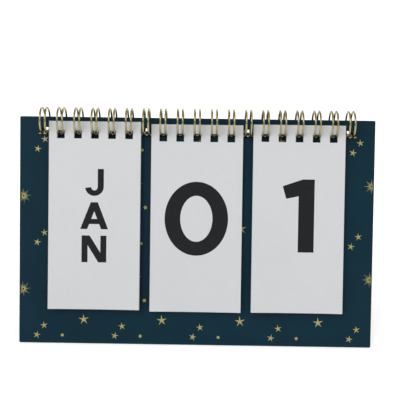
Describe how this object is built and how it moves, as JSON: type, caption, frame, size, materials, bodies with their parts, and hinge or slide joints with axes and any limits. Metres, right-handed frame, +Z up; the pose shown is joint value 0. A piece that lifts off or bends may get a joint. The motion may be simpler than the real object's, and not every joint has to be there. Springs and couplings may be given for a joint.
{
  "type": "perpetual desk calendar",
  "caption": "Fold-flat easel stand of wrapped board with pads of flip cards for month and day, hung in front on a twin-loop wire.",
  "frame": {"origin": "on the desk, under the middle of the open stand's footprint", "axes": "+X to the viewer's right, -Y out of the front, +Z up"},
  "size_m": [0.1778, 0.0658, 0.1154],
  "materials": {
    "printed_paper": "satin",
    "grey_board": "matte",
    "lining_paper": "matte",
    "gold_wire": "gloss",
    "card_paper": "matte",
    "black_ink": "satin",
    "gold_ink": "satin"
  },
  "bodies": {
    "front_panel": {"front_board_wrap": "printed_paper", "front_board_core": "grey_board", "front_board_lining": "lining_paper", "twin_loop_wire": "gold_wire"},
    "back_panel": {"back_board_wrap": "printed_paper", "back_board_core": "grey_board", "back_board_lining": "lining_paper"},
    "base_flap": {"base_flap_wrap": "printed_paper", "base_flap_core": "grey_board", "base_flap_lining": "lining_paper"},
    "card_december": {"card_december": "card_paper"},
    "card_november": {"card_november": "card_paper"},
    "card_october": {"card_october": "card_paper"},
    "card_september": {"card_september": "card_paper"},
    "card_august": {"card_august": "card_paper"},
    "card_july": {"card_july": "card_paper"},
    "card_june": {"card_june": "card_paper"},
    "card_may": {"card_may": "card_paper"},
    "card_april": {"card_april": "card_paper"},
    "card_march": {"card_march": "card_paper"},
    "card_february": {"card_february": "card_paper"},
    "card_january": {"card_january": "card_paper"},
    "card_tens_3": {"card_tens_3": "card_paper"},
    "card_tens_2": {"card_tens_2": "card_paper"},
    "card_tens_1": {"card_tens_1": "card_paper"},
    "card_tens_0": {"card_tens_0": "card_paper"},
    "card_ones_0": {"card_ones_0": "card_paper"},
    "card_ones_9": {"card_ones_9": "card_paper"},
    "card_ones_8": {"card_ones_8": "card_paper"},
    "card_ones_7": {"card_ones_7": "card_paper"},
    "card_ones_6": {"card_ones_6": "card_paper"},
    "card_ones_5": {"card_ones_5": "card_paper"},
    "card_ones_4": {"card_ones_4": "card_paper"},
    "card_ones_3": {"card_ones_3": "card_paper"},
    "card_ones_2": {"card_ones_2": "card_paper"},
    "card_ones_1": {"card_ones_1": "card_paper"}
  },
  "joints": [
    {"name": "stand_fold", "type": "hinge", "parent": "front_panel", "child": "back_panel", "pos_m": [0, -0.00292, 0.10854], "axis": [-1, 0, 0], "range_deg": [0, 32]},
    {"name": "flap_fold", "type": "hinge", "parent": "back_panel", "child": "base_flap", "pos_m": [0, 0.03289, 0], "axis": [1, 0, 0], "range_deg": [0, 285]},
    {"name": "december_turn", "type": "hinge", "parent": "front_panel", "child": "card_december", "pos_m": [0, -0.00385, 0.10852], "axis": [-1, 0, 0], "range_deg": [0, 180]},
    {"name": "november_turn", "type": "hinge", "parent": "card_december", "child": "card_november", "pos_m": [0, -0.00385, 0.10852], "axis": [-1, 0, 0], "range_deg": [0, 180]},
    {"name": "october_turn", "type": "hinge", "parent": "card_november", "child": "card_october", "pos_m": [0, -0.00385, 0.10852], "axis": [-1, 0, 0], "range_deg": [0, 180]},
    {"name": "september_turn", "type": "hinge", "parent": "card_october", "child": "card_september", "pos_m": [0, -0.00385, 0.10852], "axis": [-1, 0, 0], "range_deg": [0, 180]},
    {"name": "august_turn", "type": "hinge", "parent": "card_september", "child": "card_august", "pos_m": [0, -0.00385, 0.10852], "axis": [-1, 0, 0], "range_deg": [0, 180]},
    {"name": "july_turn", "type": "hinge", "parent": "card_august", "child": "card_july", "pos_m": [0, -0.00385, 0.10852], "axis": [-1, 0, 0], "range_deg": [0, 180]},
    {"name": "june_turn", "type": "hinge", "parent": "card_july", "child": "card_june", "pos_m": [0, -0.00385, 0.10852], "axis": [-1, 0, 0], "range_deg": [0, 180]},
    {"name": "may_turn", "type": "hinge", "parent": "card_june", "child": "card_may", "pos_m": [0, -0.00385, 0.10852], "axis": [-1, 0, 0], "range_deg": [0, 180]},
    {"name": "april_turn", "type": "hinge", "parent": "card_may", "child": "card_april", "pos_m": [0, -0.00385, 0.10852], "axis": [-1, 0, 0], "range_deg": [0, 180]},
    {"name": "march_turn", "type": "hinge", "parent": "card_april", "child": "card_march", "pos_m": [0, -0.00385, 0.10852], "axis": [-1, 0, 0], "range_deg": [0, 180]},
    {"name": "february_turn", "type": "hinge", "parent": "card_march", "child": "card_february", "pos_m": [0, -0.00385, 0.10852], "axis": [-1, 0, 0], "range_deg": [0, 180]},
    {"name": "january_turn", "type": "hinge", "parent": "card_february", "child": "card_january", "pos_m": [0, -0.00385, 0.10852], "axis": [-1, 0, 0], "range_deg": [0, 180]},
    {"name": "tens_3_turn", "type": "hinge", "parent": "front_panel", "child": "card_tens_3", "pos_m": [0, -0.00332, 0.10746], "axis": [-1, 0, 0], "range_deg": [0, 180]},
    {"name": "tens_2_turn", "type": "hinge", "parent": "card_tens_3", "child": "card_tens_2", "pos_m": [0, -0.00332, 0.10746], "axis": [-1, 0, 0], "range_deg": [0, 180]},
    {"name": "tens_1_turn", "type": "hinge", "parent": "card_tens_2", "child": "card_tens_1", "pos_m": [0, -0.00332, 0.10746], "axis": [-1, 0, 0], "range_deg": [0, 180]},
    {"name": "tens_0_turn", "type": "hinge", "parent": "card_tens_1", "child": "card_tens_0", "pos_m": [0, -0.00332, 0.10746], "axis": [-1, 0, 0], "range_deg": [0, 180]},
    {"name": "ones_0_turn", "type": "hinge", "parent": "front_panel", "child": "card_ones_0", "pos_m": [0, -0.00378, 0.10804], "axis": [-1, 0, 0], "range_deg": [0, 180]},
    {"name": "ones_9_turn", "type": "hinge", "parent": "card_ones_0", "child": "card_ones_9", "pos_m": [0, -0.00378, 0.10804], "axis": [-1, 0, 0], "range_deg": [0, 180]},
    {"name": "ones_8_turn", "type": "hinge", "parent": "card_ones_9", "child": "card_ones_8", "pos_m": [0, -0.00378, 0.10804], "axis": [-1, 0, 0], "range_deg": [0, 180]},
    {"name": "ones_7_turn", "type": "hinge", "parent": "card_ones_8", "child": "card_ones_7", "pos_m": [0, -0.00378, 0.10804], "axis": [-1, 0, 0], "range_deg": [0, 180]},
    {"name": "ones_6_turn", "type": "hinge", "parent": "card_ones_7", "child": "card_ones_6", "pos_m": [0, -0.00378, 0.10804], "axis": [-1, 0, 0], "range_deg": [0, 180]},
    {"name": "ones_5_turn", "type": "hinge", "parent": "card_ones_6", "child": "card_ones_5", "pos_m": [0, -0.00378, 0.10804], "axis": [-1, 0, 0], "range_deg": [0, 180]},
    {"name": "ones_4_turn", "type": "hinge", "parent": "card_ones_5", "child": "card_ones_4", "pos_m": [0, -0.00378, 0.10804], "axis": [-1, 0, 0], "range_deg": [0, 180]},
    {"name": "ones_3_turn", "type": "hinge", "parent": "card_ones_4", "child": "card_ones_3", "pos_m": [0, -0.00378, 0.10804], "axis": [-1, 0, 0], "range_deg": [0, 180]},
    {"name": "ones_2_turn", "type": "hinge", "parent": "card_ones_3", "child": "card_ones_2", "pos_m": [0, -0.00378, 0.10804], "axis": [-1, 0, 0], "range_deg": [0, 180]},
    {"name": "ones_1_turn", "type": "hinge", "parent": "card_ones_2", "child": "card_ones_1", "pos_m": [0, -0.00378, 0.10804], "axis": [-1, 0, 0], "range_deg": [0, 180]}
  ],
  "couplings": [
    {"joint": "flap_fold", "follows": "stand_fold", "ratio": 8.906}
  ]
}
